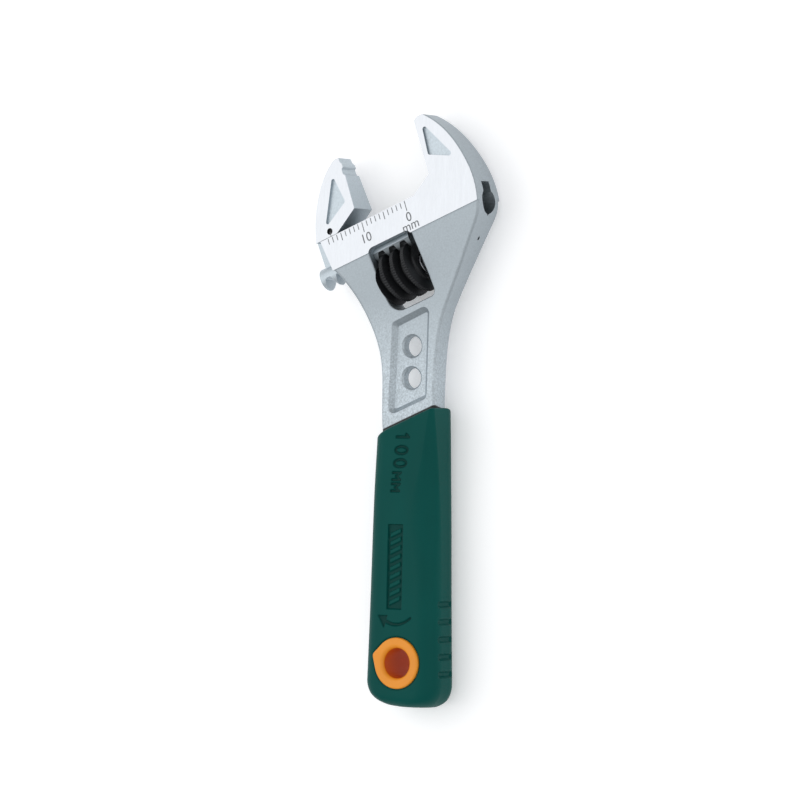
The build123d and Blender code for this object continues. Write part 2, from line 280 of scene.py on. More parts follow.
def satin_finish(name, settings, grain=0.32, depth=0.02, light=1.0):
    """Blasted and plated forging: sandy grain with a coarser cast skin and cloudy patches.

    The skin is brighter and rougher along the neck. A fine line where the grip shuts on the neck is painted near
    black and made less metallic, as a painted shadow of the gap there.
    """
    finish = Finish(name)
    x, y, z = (
        finish.node("ShaderNodeSeparateXYZ", None, {"Vector": finish.place}, output=axis) for axis in "XYZ")
    neck = (1 - (x - 6 * MM) / (14 * MM)).clamped()
    above = x + (y - float(HANDLE_Y)) * TOP_LEAN - GRIP_TOP - (z - float(MIDDLE_Z)) * 0.27
    # painted shadow: a thin band just above the grip's top edge, standing in for the shade in the gap between grip
    # and neck
    painted_gap_shadow = (2.2 - above / (0.15 * MM)).clamped()
    sand = finish.noise(grain * MM, 5, 0.65)
    speck = finish.node("ShaderNodeTexVoronoi", {"feature": "F1"}, {
        "Vector": finish.place, "Scale": 1 / (grain * 1.1 * MM), "Randomness": 1.0})
    skin = finish.noise(1.6 * MM, 3, 0.6)
    cloud = finish.noise(12 * MM, 2)
    tone = finish.mix((sand * 2.2 - 0.6).clamped(), shade(settings.satin, 0.80), shade(settings.satin, 1.14))
    bright = finish.mix(
        (sand * 3.2 - 1.1).clamped(), shade(settings.satin, 0.85), shade(settings.satin, 1.75))
    tone = finish.mix(neck * 0.8, tone, bright)
    tone = finish.mix((cloud * 1.6 - 0.3).clamped() * 0.4, tone, shade(settings.satin, 1.10))
    # light scales the whole tone: the pocket floors use it as painted light, and the rack's teeth as painted shade
    tone = finish.mix(1.0, tone, (light, light, light, 1), "MULTIPLY")
    # paints that band near black as the gap's shadow
    tone = finish.mix(painted_gap_shadow, tone, (0.004, 0.005, 0.005, 1))
    height = (sand * 0.55 + speck * 0.3) * (1 + neck * 2.0) + skin * 0.9
    return finish.surface(
        Base_Color=tone, Metallic=1 - painted_gap_shadow, Roughness=0.40 + sand * 0.16 + cloud * 0.05,
        Normal=finish.bump(height, depth * MM, 0.9))


def black_finish(name, settings):
    """Black oxide, a little oily, with worn brighter flecks."""
    finish = Finish(name)
    grain = finish.noise(0.22 * MM, 4, 0.6)
    fleck = finish.ramp(finish.noise(0.5 * MM, 5, 0.7), (0.66, 0), (0.72, 1))
    tone = finish.mix(grain, shade(settings.black, 0.75), shade(settings.black, 1.5))
    tone = finish.mix(fleck * 0.35, tone, (0.11, 0.11, 0.115, 1))
    return finish.surface(
        Base_Color=tone, Metallic=0.45, Roughness=0.36 + grain * 0.16,
        Normal=finish.bump(grain, 0.012 * MM, 0.7))


def turned_finish(name, tint, ring):
    """Turned or drawn steel: fine lines round the piece, made by noise stretched flat across its axis."""
    finish = Finish(name)
    lines = finish.noise(ring, 3, 0.6, stretch=(6, 1, 6), turn=radians(22.5))
    tone = finish.mix(lines, shade(tint, 0.75), shade(tint, 1.1))
    return finish.surface(
        Base_Color=tone, Metallic=1.0, Roughness=0.28 + lines * 0.15,
        Normal=finish.bump(lines, 0.008 * MM, 0.6))


def rubber_finish(name, colour):
    """Matt moulded elastomer: spark-eroded grain, faint flow clouds, glossier in the sunk marks, where the colour
    is also painted darker as their shade.
    """
    finish = Finish(name)
    grain = finish.noise(0.13 * MM, 3, 0.6)
    orange_peel = finish.noise(0.6 * MM, 2, 0.5)
    flow = finish.noise(9 * MM, 3, 0.5, stretch=(2.5, 1, 1))
    sunk = finish.node("ShaderNodeAttribute", {"attribute_name": "sunk"}, output="Fac")
    tone = finish.mix((flow * 1.6 - 0.3).clamped(), shade(colour, 0.88), shade(colour, 1.12))
    # painted shade: the colour falls to a third of its value inside the sunk marks
    tone = finish.mix(sunk * 0.6, tone, shade(colour, 0.32))
    return finish.surface(
        Base_Color=tone, Roughness=0.40 + grain * 0.10 + flow * 0.06 - sunk * 0.10, Specular_IOR_Level=0.09,
        Normal=finish.bump(grain * 0.7 + orange_peel * 0.5, 0.012 * MM, 0.7))


def plastic_finish(name, colour):
    """Satin moulded plastic: soft mould texture, faint flow marks, slightly scuffed."""
    finish = Finish(name)
    grain = finish.noise(0.25 * MM, 3, 0.55)
    flow = finish.noise(5 * MM, 3, 0.5)
    tone = finish.mix(flow, shade(colour, 0.90), shade(colour, 1.08))
    return finish.surface(
        Base_Color=tone, Roughness=0.34 + grain * 0.12 + flow * 0.06, IOR=1.48,
        Normal=finish.bump(grain, 0.010 * MM, 0.5))


def ink_finish(name):
    """Dark etched marking, slightly broken up."""
    finish = Finish(name)
    break_up = finish.noise(0.12 * MM, 3, 0.6)
    tone = finish.mix(break_up, (0.07, 0.075, 0.08, 1), (0.24, 0.25, 0.26, 1))
    return finish.surface(
        Base_Color=tone, Roughness=0.5 + break_up * 0.2, Normal=finish.bump(break_up, 0.004 * MM))


# ---------------------------------------------------------------- mesh building
def smooth_step(value, low, high):
    """0 below low, 1 above high, and an S curve between."""
    t = np.clip((value - low) / (high - low), 0, 1)
    return t * t * (3 - 2 * t)


def grid_faces(rows, columns, close_rows=False):
    """Corner numbers of the quads of a grid closed across its columns, and along its rows if asked."""
    row, column = np.meshgrid(np.arange(rows if close_rows else rows - 1), np.arange(columns), indexing="ij")
    next_row, next_column = (row + 1) % rows, (column + 1) % columns
    corners = (row * columns + column, row * columns + next_column,
               next_row * columns + next_column, next_row * columns + column)
    return np.stack(corners, axis=-1).reshape(-1, 4)


def piece_from(name, points, faces):
    """A mesh object at the origin, with its normals pointing outwards."""
    mesh = bpy.data.meshes.new(name)
    mesh.from_pydata(np.asarray(points).reshape(-1, 3).tolist(), [], faces)
    shell = bmesh.new()
    shell.from_mesh(mesh)
    bmesh.ops.remove_doubles(shell, verts=shell.verts, dist=1e-7)
    bmesh.ops.recalc_face_normals(shell, faces=shell.faces)
    shell.to_mesh(mesh)
    shell.free()
    piece = bpy.data.objects.new(name, mesh)
    bpy.context.scene.collection.objects.link(piece)
    return piece


def smooth_faces(piece, angle=radians(35)):
    piece.data.shade_smooth()
    piece.data.set_sharp_from_angle(angle=angle)


def capped_surface(name, grid):
    """A closed skin from a grid of rings: each end ring is closed by triangles round its middle."""
    rows, columns = grid.shape[:2]
    faces = grid_faces(rows, columns).tolist()
    points = np.concatenate([grid.reshape(-1, 3), grid[[0, -1]].mean(axis=1)])
    ring = np.arange(columns)
    for start, pole in ((0, rows * columns), ((rows - 1) * columns, rows * columns + 1)):
        fan = np.stack([np.full(columns, pole), start + ring, start + (ring + 1) % columns], axis=-1)
        faces += fan.tolist()
    return piece_from(name, points, faces)


def flat_piece(name, outline, thickness, to_frame):
    """A thin closed plate: an outline carried through a thickness, and placed by a function to the frame."""
    count = len(outline)
    low = np.column_stack([outline, np.zeros(count)])
    high = np.column_stack([outline, np.full(count, thickness)])
    faces = [list(range(count))[::-1], list(range(count, 2 * count))]
    faces += [[i, (i + 1) % count, count + (i + 1) % count, count + i] for i in range(count)]
    return piece_from(name, to_frame(np.concatenate([low, high])), faces)


def distance_to_path(across, along, path):
    """Distance from each point to the nearest stretch of a path of straight pieces."""
    nearest = np.full(np.shape(across), 1e9)
    for (ax, ay), (bx, by) in zip(path[:-1], path[1:]):
        dx, dy = bx - ax, by - ay
        share = np.clip(((across - ax) * dx + (along - ay) * dy) / (dx * dx + dy * dy), 0, 1)
        nearest = np.minimum(nearest, np.hypot(across - ax - share * dx, along - ay - share * dy))
    return nearest


def teardrop_distance(x, w, big=RING_RADIUS, small=RING_TIP_RADIUS, tip=RING_TIP):
    """Distance outside the ring's outline: the hull of a large circle and a small one at its tip."""
    reach = np.hypot(*tip)
    ahead_x, ahead_w = tip[0] / reach, tip[1] / reach
    px, pw = x - HANG_HOLE[0], w
    ahead = px * ahead_x + pw * ahead_w
    beside = np.abs(-px * ahead_w + pw * ahead_x)
    lean = (big - small) / reach
    level = np.sqrt(1 - lean * lean)
    side = -lean * beside + level * ahead
    straight = level * beside + lean * ahead - big
    return np.where(side < 0, np.hypot(beside, ahead) - big,
                    np.where(side > level * reach, np.hypot(beside, ahead - reach) - small, straight))


def teardrop_outline(count=160, big=RING_RADIUS, small=RING_TIP_RADIUS, tip=RING_TIP):
    """Points of the same hull: each direction is carried by the circle that reaches furthest that way."""
    angle = np.linspace(0, 2 * pi, count, endpoint=False)
    direction = np.column_stack([np.cos(angle), np.sin(angle)])
    on_tip = direction @ np.array(tip) + small > big
    centre = np.where(on_tip[:, None], np.array(tip), 0.0)
    return centre + direction * np.where(on_tip, small, big)[:, None]


# ---------------------------------------------------------------- markings sunk into the grip
def digit_paths():
    """Strokes of the size mark, in millimetres: reading direction first, letter height second."""
    turn = np.linspace(0, 2 * pi, 33)
    paths = [[(-0.45, 0.70), (0.05, 1.3), (0.05, -1.3)]]
    for centre in (2.45, 4.85):
        paths.append([(centre + 0.66 * sin(a), 1.28 * cos(a)) for a in turn])
    for centre in (7.25, 9.3):
        paths.append([(centre + across, height - 1.3) for across, height in (
            (-0.65, 0), (-0.65, 1.65), (0, 0.75), (0.65, 1.65), (0.65, 0))])
    return paths


def size_mark(x, w):
    """Depth share of the size figures: 1 inside a stroke, fading to 0 at its edge."""
    reading = (-4.8 * MM - x) / MM
    middle = -0.35 + 0.0966 * reading
    height = -(w / MM - middle)
    nearest = np.full(x.shape, 1e9)
    for path in digit_paths():
        nearest = np.minimum(nearest, distance_to_path(reading, height, path))
    return 1 - smooth_step(nearest, 0.15, 0.33)


def turn_arrow(x, w):
    """Depth share of the curved arrow: a tapering arc for the shaft and a three-sided head."""
    a, b = -w / MM, (x - HANG_HOLE[0]) / MM
    bend = np.linspace(0, 1, 13)
    shaft = [(-2.4 + 5.2 * t, 7.55 - 1.5 * 4 * t * (1 - t) * 0.55 + 0.75 * t) for t in bend]
    width = 0.30 - 0.13 * np.clip((a + 2.4) / 5.2, 0, 1)
    shaft_share = 1 - smooth_step(distance_to_path(a, b, shaft) - width, -0.06, 0.12)
    corners = [(-4.2, 8.6), (-2.25, 8.65), (-2.95, 6.45)]
    inside = np.full(x.shape, -1e9)
    for (ax, ay), (bx, by) in zip(corners, corners[1:] + corners[:1]):
        length = np.hypot(bx - ax, by - ay)
        inside = np.maximum(inside, ((bx - ax) * (b - ay) - (by - ay) * (a - ax)) / length)
    head_share = 1 - smooth_step(inside, -0.06, 0.12)
    return np.maximum(shaft_share, head_share)


def name_plate(x, w, mark_depth):
    """Depth of the sunk plate in metres, with a row of plain raised slanting bars standing in it."""
    middle_x, middle_w = -28.6 * MM, 0.8 * MM
    half_length, half_width = 7.75 * MM, 1.6 * MM
    from_middle_x, from_middle_w = x - middle_x, w - middle_w
    edge = np.maximum(np.abs(from_middle_x) - half_length, np.abs(from_middle_w) - half_width)
    floor = 1 - smooth_step(edge, -0.10 * MM, 0.08 * MM)
    step = 1.55 * MM
    slanted = from_middle_x + 0.45 * from_middle_w
    bar = np.abs((slanted / step + 0.5) % 1 - 0.5) * step
    bar = 1 - smooth_step(bar, 0.30 * MM, 0.46 * MM)
    inner = np.maximum(np.abs(slanted) - 6.9 * MM, np.abs(from_middle_w) - 1.15 * MM)
    bar = bar * (1 - smooth_step(inner, -0.10 * MM, 0.08 * MM))
    return floor * mark_depth * 1.35 * (1 - 0.72 * bar), floor * (1 - bar)


def side_grooves(x, z):
    """Depth share of five short finger grooves, each rounded at both ends."""
    first, step, count = -48.1 * MM, 3.2 * MM, 5
    nearest = np.full(x.shape, 1e9)
    for index in range(count):
        beyond = np.maximum(np.abs(z + 0.30 * MM) - 1.85 * MM, 0)
        nearest = np.minimum(nearest, np.hypot(x - (first + step * index), beyond))
    return 1 - smooth_step(nearest, 0.25 * MM, 0.75 * MM)


# ---------------------------------------------------------------- the grip's skin
FRONT_FLAT, RIGHT_FRONT, SIDE_FLAT, RIGHT_BACK, BACK_FLAT, LEFT_CORNER = 84, 34, 16, 24, 28, 18


def section_ring(half_width, half_depth, corner, facet_corner, facet_depth, power):
    """Rings of w and z, one for each row of the given columns of sizes.

    A ring is a flat front, the facet's corner, a flat side, a corner, a flat back, a corner, a flat side and
    a corner. Plain corners are quarter circles. The facet's corner is a quarter of a superellipse, and a
    power under 2 gives it a crease at its ends.
    """
    right_end, left_end = -(half_width - corner), half_width - corner
    side_end = half_depth - corner
    facet_end, facet_side = -(half_width - facet_corner), half_depth - facet_depth

    def stretch(count):
        return np.linspace(0, 1, count, endpoint=False)[None, :]

    def lobes(count, power=2.0):
        quarter = stretch(count) * pi / 2
        return np.sin(quarter) ** (2 / power), np.cos(quarter) ** (2 / power)

    parts = []
    t = stretch(FRONT_FLAT)
    parts.append((left_end + (facet_end - left_end) * t, half_depth + 0 * t))
    rise, fall = lobes(RIGHT_FRONT, power)
    parts.append((facet_end - facet_corner * rise, facet_side + facet_depth * fall))
    t = stretch(SIDE_FLAT)
    parts.append((-half_width + 0 * t, facet_side - (facet_side + side_end) * t))
    rise, fall = lobes(RIGHT_BACK)
    parts.append((right_end - corner * fall, -side_end - corner * rise))
    t = stretch(BACK_FLAT)
    parts.append((right_end + (left_end - right_end) * t, -half_depth + 0 * t))
    rise, fall = lobes(LEFT_CORNER)
    parts.append((left_end + corner * rise, -side_end - corner * fall))
    t = stretch(SIDE_FLAT)
    parts.append((half_width + 0 * t, side_end * (2 * t - 1)))
    parts.append((left_end + corner * fall, side_end + corner * rise))
    return np.concatenate([p[0] for p in parts], axis=1), np.concatenate([p[1] for p in parts], axis=1)


def grip_rows(low_x, top_x):
    """Stations along the handle, and how far each row is drawn in from the full section each way.

    The bottom is a bulged cap, then a quarter-round edge, then even rows, then a small edge at the top.
    """
    side_round, depth_round, top_round = 4.6 * MM, 2.2 * MM, 0.7 * MM
    edge_x = low_x + side_round * (1 - np.cos(np.linspace(0.12, pi / 2, 26)))
    body_x = np.arange(edge_x[-1] + 0.14 * MM, top_x - top_round, 0.14 * MM)
    top_x_rows = top_x - top_round * (1 - np.sin(np.linspace(0.12, pi / 2, 7)))
    x = np.concatenate([edge_x, body_x, top_x_rows])
    q_side = np.clip((low_x + side_round - x) / side_round, 0, 1)
    q_depth = np.clip((low_x + depth_round - x) / depth_round, 0, 1)
    q_top = np.clip((x - (top_x - top_round)) / top_round, 0, 1)
    top_in = top_round * (1 - np.sqrt(1 - q_top ** 2))
    side_in = side_round * (1 - np.sqrt(1 - q_side ** 2)) + top_in
    depth_in = depth_round * (1 - np.sqrt(1 - q_depth ** 2)) + top_in
    return x, side_in, depth_in


def grip_skin(settings):
    """The grip as rings along the handle, from the bottom cap up to the groove round the neck.

    Width and depth grow towards the bottom. The front is flat beside the neck. Its right corner opens from a
    tight edge into a wide roll, which leaves a facet with a slanting edge. Rows lean with the top edge there.
    The markings are sunk along z and the finger grooves along w.
    """
    low_x, top_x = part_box("grip")[0].x, GRIP_TOP
    station, side_in, depth_in = (a[:, None] for a in grip_rows(low_x, top_x))
    share = (station - top_x) / (low_x - top_x)
    widening = (settings.end_width - settings.head_width) / 2
    half_width = settings.head_width / 2 + widening * share ** 0.85 - side_in
    half_depth = 4.28 * MM + 0.42 * MM * share - depth_in
    corner = np.minimum(np.minimum(3.1 * MM, half_depth * 0.9), half_width * 0.9)
    below = -station / MM
    facet_corner = np.minimum(np.interp(below, (2, 10, 15.5, 21, 30), (0.6, 2.5, 4.3, 5.0, 3.6)) * MM,
                              half_width * 0.9)
    facet_depth = np.minimum(np.interp(below, (2, 10, 15.5, 21, 30), (0.8, 2.1, 2.8, 3.1, 3.1)) * MM,
                             half_depth * 0.9)
    power = np.interp(below, (2, 12, 17, 26), (1.45, 1.5, 1.7, 2.0))
    w, z = section_ring(half_width, half_depth, corner, facet_corner, facet_depth, power)
    dome = smooth_step(-station, 14 * MM, 40 * MM) * 0.30 * MM
    z = z - np.sign(z) * dome * (w / half_width) ** 2 * smooth_step(np.abs(z), 0, 1.5 * MM)

    lean = smooth_step(station, -16 * MM, top_x)
    tilt_bottom = smooth_step(-station, -(low_x + 9 * MM), -low_x)
    x = station - TOP_LEAN * w * lean + 0.07 * w * tilt_bottom

    top_ring = np.stack([x[-1], w[-1], z[-1]], axis=-1)
    front = smooth_step(z, 2.5 * MM, 3.2 * MM)
    plate_depth, _ = name_plate(x, w, settings.mark_depth)
    sink = np.maximum(np.maximum(size_mark(x, w), turn_arrow(x, w)) * settings.mark_depth, plate_depth)
    lip = np.exp(-(teardrop_distance(x, w) / (0.22 * MM)) ** 2) * 0.30 * MM
    on_side = smooth_step(np.abs(w), half_width - 1.6 * MM, half_width - 0.8 * MM)
    groove = side_grooves(x, z) * settings.groove_depth * on_side
    grid = np.stack([x, w - np.sign(w) * groove, z - front * sink - np.sign(z) * lip], axis=-1)

    # the cap: in to the neck's outline, down into a narrow gap, and shut inside the neck
    neck = [np.array([[size * MM]]) for size in (5.8, 2.2, 0.6, 0.6, 0.6)]
    neck_w, neck_z = section_ring(*neck, 2.0)
    cap = []
    for inwards, deeper in ((0.25, 0), (0.6, 0), (0.93, 0.02), (1.0, 0.18), (1.0, 0.9), (1.35, 0.9)):
        ring_w = top_ring[:, 1] + (neck_w[0] - top_ring[:, 1]) * inwards
        ring_z = top_ring[:, 2] + (neck_z[0] - top_ring[:, 2]) * inwards
        ring_x = top_x - TOP_LEAN * ring_w - deeper * MM
        cap.append(np.stack([ring_x, ring_w, ring_z], axis=-1))

    foot = []
    for share_out in (0.15, 0.4, 0.65, 0.85):
        ring = grid[0].copy()
        ring[:, 1:] *= share_out
        ring[:, 0] -= 0.25 * MM * (1 - share_out ** 2)
        foot.append(ring)
    rings = np.concatenate([np.array(foot), grid, np.array(cap)])
    rings[..., 0] = np.maximum(rings[..., 0], low_x)
    return rings + np.array([0, HANDLE_Y, MIDDLE_Z])


def cut_with(piece, cutter):
    """Takes the cutter's volume out of the piece and throws the cutter away."""
    modifier = piece.modifiers.new("ring_hole", "BOOLEAN")
    modifier.operation = "DIFFERENCE"
    modifier.solver = "EXACT"
    modifier.object = cutter
    bpy.context.view_layer.update()
    graph = bpy.context.evaluated_depsgraph_get()
    cut = bpy.data.meshes.new_from_object(piece.evaluated_get(graph))
    piece.modifiers.clear()
    piece.data = cut
    bpy.data.objects.remove(cutter)


def set_sunk(piece, settings):
    """Stores how deep in a marking each point lies, for the finish to make the marks glossier and paint shade into
    them.
    """
    mesh = piece.data
    points = np.empty(len(mesh.vertices) * 3, np.float32)
    mesh.vertices.foreach_get("co", points)
    points = points.reshape(-1, 3).astype(float)
    x, w, z = points[:, 0], points[:, 1] - HANDLE_Y, points[:, 2] - MIDDLE_Z
    front = smooth_step(z, 2.5 * MM, 3.2 * MM)
    plate = name_plate(x, w, settings.mark_depth)[1]
    sunk = np.maximum(np.maximum(size_mark(x, w), turn_arrow(x, w)), plate * 0.75) * front
    attribute = mesh.attributes.new("sunk", "FLOAT", "POINT")
    attribute.data.foreach_set("value", sunk.astype(np.float32))


# ---------------------------------------------------------------- the worm's skin
def worm_skin(settings):
    """The worm as rings along its axis, closed through its bore.

    The radius depends on the distance from the ridge's middle, which moves one pitch along the axis a turn:
    flat crest, straight flanks, flat root. Cosine notches are cut into the crest, and the ends are chamfered.
    """
    first_gap, flank, crest_half = -8.1 * MM, radians(20), 0.35 * MM
    low_u, high_u, bore, pocket, pocket_depth = -16.95 * MM, -8.3 * MM, 1.25 * MM, 2.25 * MM, 3.0 * MM
    columns, rows = 348, 140
    angle = np.linspace(0, 2 * pi, columns, endpoint=False)[None, :]
    u = np.linspace(low_u, high_u, rows)[:, None]
    turns = (u - first_gap) / PITCH - angle / (2 * pi)
    off = np.abs(turns - np.round(turns)) * PITCH
    height = np.clip((off - crest_half) / tan(flank), 0, settings.radius - settings.root_radius)
    radius = settings.radius - height
    crest = 1 - smooth_step(off, crest_half + 0.02 * MM, crest_half + 0.30 * MM)
    notch = (0.5 + 0.5 * np.cos(settings.notches * angle)) ** 2
    radius = radius - settings.notch_depth * crest * notch
    from_end = np.minimum(u - low_u, high_u - u)
    radius = np.minimum(radius, settings.radius - 0.5 * MM + np.clip(from_end, 0, 0.5 * MM))
    u = u + 0 * angle

    def ring(place_u, place_radius):
        return np.full((1, columns), place_u), np.full((1, columns), place_radius)

    inner = [ring(high_u, pocket + 0.4 * MM), ring(high_u, pocket), ring(high_u - pocket_depth, pocket),
             ring(high_u - pocket_depth, bore), ring(low_u, bore), ring(low_u, bore + 0.8 * MM)]
    u = np.concatenate([u] + [r[0] for r in inner])
    radius = np.concatenate([radius] + [r[1] for r in inner])
    start = WORM_CENTRE - (WORM_CENTRE - RAIL_CORNER) @ ALONG * ALONG
    up = np.array((0.0, 0.0, 1.0))
    outwards = np.cos(angle)[..., None] * ACROSS + np.sin(angle)[..., None] * up
    return start + u[..., None] * ALONG + radius[..., None] * outwards


# ---------------------------------------------------------------- the engraved scale
def on_front_face(points, lift):
    """Carries (u, v, height) in millimetres onto the front face, which falls away towards the tips."""
    points = np.asarray(points) * MM
    u, v, height = points[:, 0], points[:, 1], points[:, 2]
    rise = FACE_HALF - FACE_FALL * v + lift * MM + height
    up = np.array((0.0, 0.0, 1.0))
    flat = RAIL_CORNER * np.array((1, 1, 0)) + np.array((0, 0, MIDDLE_Z))
    return flat + u[:, None] * ALONG + v[:, None] * ACROSS + rise[:, None] * up


def tick(name, u, length, width=0.17):
    """One engraved line, square to the rail, with clipped corners."""
    clip, top = 0.04, -0.15
    half, bottom = width / 2, top - length
    outline = np.array([(u - half, top - clip), (u - half, bottom + clip), (u - half + clip, bottom),
                        (u + half - clip, bottom), (u + half, bottom + clip), (u + half, top - clip),
                        (u + half - clip, top), (u - half + clip, top)])
    return flat_piece(name, outline, 0.006, lambda points: on_front_face(points, 0.002))


def lettering(name, text, u, v, height):
    """Figures as a thin mesh in the font's own shapes, lying on the front face and reading along the rail."""
    curve = bpy.data.curves.new(name, "FONT")
    curve.body = text
    curve.size = height / 0.7
    curve.align_x = "CENTER"
    curve.align_y = "CENTER"
    curve.extrude = 0.003
    curve.offset = 0.004
    curve.resolution_u = 6
    source = bpy.data.objects.new(name + "_source", curve)
    bpy.context.scene.collection.objects.link(source)
    bpy.context.view_layer.update()
    graph = bpy.context.evaluated_depsgraph_get()
    mesh = bpy.data.meshes.new_from_object(source.evaluated_get(graph))
    bpy.data.objects.remove(source)
    points = np.empty(len(mesh.vertices) * 3, np.float32)
    mesh.vertices.foreach_get("co", points)
    points = points.reshape(-1, 3) + np.array((u, v, 0.003))
    mesh.vertices.foreach_set("co", on_front_face(points, 0.002).astype(np.float32).ravel())
    mesh.name = name
    piece = bpy.data.objects.new(name, mesh)
    bpy.context.scene.collection.objects.link(piece)
    return piece


def join(pieces, name):
    """Joins pieces into one mesh."""
    joined = bmesh.new()
    for piece in pieces:
        joined.from_mesh(piece.data)
        bpy.data.objects.remove(piece)
    mesh = bpy.data.meshes.new(name)
    joined.to_mesh(mesh)
    joined.free()
    whole = bpy.data.objects.new(name, mesh)
    bpy.context.scene.collection.objects.link(whole)
    return whole


def dress(piece, body, material):
    """Gives a finished piece its body and its finish."""
    piece.data.materials.clear()
    piece.data.materials.append(material)
    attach(piece, body)


def lowest_corner(mesh):
    """The least place along the rail that each triangle reaches."""
    points, corners = np.empty(len(mesh.vertices) * 3, np.float32), np.empty(len(mesh.loops), np.int32)
    mesh.vertices.foreach_get("co", points)
    mesh.loops.foreach_get("vertex_index", corners)
    along = (points.reshape(-1, 3).astype(float) - RAIL_CORNER) @ ALONG
    return along[corners].reshape(-1, 3).min(axis=1)


def face_places(mesh):
    """Each face's place along the rail, across it and in height, and how squarely it faces up or down."""
    count = len(mesh.polygons)
    centre, normal = np.empty(count * 3, np.float32), np.empty(count * 3, np.float32)
    mesh.polygons.foreach_get("center", centre)
    mesh.polygons.foreach_get("normal", normal)
    offset = centre.reshape(-1, 3).astype(float) - RAIL_CORNER
    return offset @ ALONG, offset @ ACROSS, offset[:, 2], np.abs(normal.reshape(-1, 3)[:, 2])


def bore_faces(u, v, up):
    """Which faces lie inside the open end of the rail's bore and its slot."""
    bore = np.hypot(v - BORE_V, up) < 2.32 * MM
    slot = (np.abs(up) < 1.3 * MM) & (v > BORE_V) & (v < -3.0 * MM)
    return (bore | slot) & (u > 4.5 * MM) & (u < 9.2 * MM)


def pit_faces(u, v, up):
    """Which faces lie inside the index pit in the movable jaw's front face."""
    near = np.hypot(u + 23.8 * MM, v - 1.05 * MM) < 0.7 * MM
    return near & (up > 0) & (up < FACE_HALF - FACE_FALL * v - 0.01 * MM)


def finish_head_part(node, finishes, shaded_hollow_faces, rack_shade_below):
    """Finishes a head part: its skin, the polished planes, the pocket floors painted lighter, hollows painted
    black as their shade, and rack teeth painted darker as shade.
    """
    mesh = frame["nodes"][node].data
    mesh.materials.clear()
    for material in finishes:
        mesh.materials.append(material)
    u, v, up, flatness = face_places(mesh)
    level = (flatness > 0.98) & (v > -6.2 * MM)
    on_plane = np.abs(np.abs(up) - (FACE_HALF - FACE_FALL * v)) < 0.02 * MM
    pocket = (flatness > 0.9) & (v > 1.5 * MM) & ~on_plane
    # painted shade: the rack's teeth, apart from the tail beyond the rail, get a darker copy of the skin for the
    # shade under the window's top lip
    rack_shade = (v < rack_shade_below) & (lowest_corner(mesh) > -24 * MM)
    # faces inside the bore, its slot and the index pit get the black finish as painted shade
    chosen = [shaded_hollow_faces(u, v, up), rack_shade, level & on_plane, pocket]
    choice = np.select(chosen, [3, 4, 1, 2], 0)
    mesh.polygons.foreach_set("material_index", choice.astype(np.int32))


# ---------------------------------------------------------------- operators
class WRENCH_OT_stage(bpy.types.Operator):
    """Set the floor, the soft lights and the camera"""
    bl_idname = "wrench.stage"
    bl_label = "Studio"

    def execute(self, context):
        settings = context.scene.wrench_studio
        scene = context.scene
        scene.view_settings.view_transform = "Standard"
        half = 3.0
        corners = [(-half, -half, 0), (half, -half, 0), (half, half, 0), (-half, half, 0)]
        mesh = bpy.data.meshes.new("floor")
        mesh.from_pydata(corners, [], [(0, 1, 2, 3)])
        floor = bpy.data.objects.new("floor", mesh)
        scene.collection.objects.link(floor)
        paint = Finish("floor_paint")
        mottle = paint.noise(0.05, 2)
        tone = paint.mix(mottle, shade(settings.backdrop, 0.99), shade(settings.backdrop, 1.0))
        mesh.materials.append(paint.surface(
            Base_Color=tone, Roughness=0.9, Specular_IOR_Level=0.1,
            Emission_Color=tone, Emission_Strength=0.30))

        world = bpy.data.worlds.new("studio_air")
        world.use_nodes = True
        world.node_tree.nodes["Background"].inputs["Color"].default_value = (0.97, 0.985, 1.0, 1)
        world.node_tree.nodes["Background"].inputs["Strength"].default_value = 0.60
        scene.world = world

        # name, place, size, power: a large box behind, one over the top and one in front
        for name, place, size, power in (
            ("key", (0.15, 0.62, 0.80), (1.2, 1.2), 4.0),
            ("top", (-0.2, -0.25, 1.1), (0.8, 0.8), 0.9),
            ("side", (0.05, -0.80, 0.62), (0.7, 0.6), 0.98),
        ):
            light = bpy.data.lights.new(name, "AREA")
            light.shape = "RECTANGLE"
            light.size, light.size_y = size
            light.energy = power
            lamp = bpy.data.objects.new(name, light)
            lamp.location = place
            lamp.rotation_euler = (Vector((0, 0, 0)) - Vector(place)).to_track_quat("-Z", "Y").to_euler()
            lamp.visible_camera = False
            scene.collection.objects.link(lamp)

        lean, roll = settings.turn, settings.roll
        right = Vector((sin(roll), -cos(lean) * cos(roll), -sin(lean) * cos(roll)))
        up = Vector((cos(roll), cos(lean) * sin(roll), sin(lean) * sin(roll)))
        back = Vector((0, -sin(lean), cos(lean)))
        aim = Vector((-0.08 * MM, HANDLE_Y + 0.5 * MM, MIDDLE_Z))
        lens = bpy.data.cameras.new("camera")
        lens.lens = settings.lens
        lens.sensor_width = 36
        lens.clip_start, lens.clip_end = 0.05, 20
        camera = bpy.data.objects.new("camera", lens)
        place = aim - right * 2.20 * MM + up * 2.02 * MM + back * settings.distance
        camera.matrix_world = Matrix.Translation(place) @ Matrix((right, up, back)).transposed().to_4x4()
        scene.collection.objects.link(camera)
        scene.camera = camera
        return {"FINISHED"}


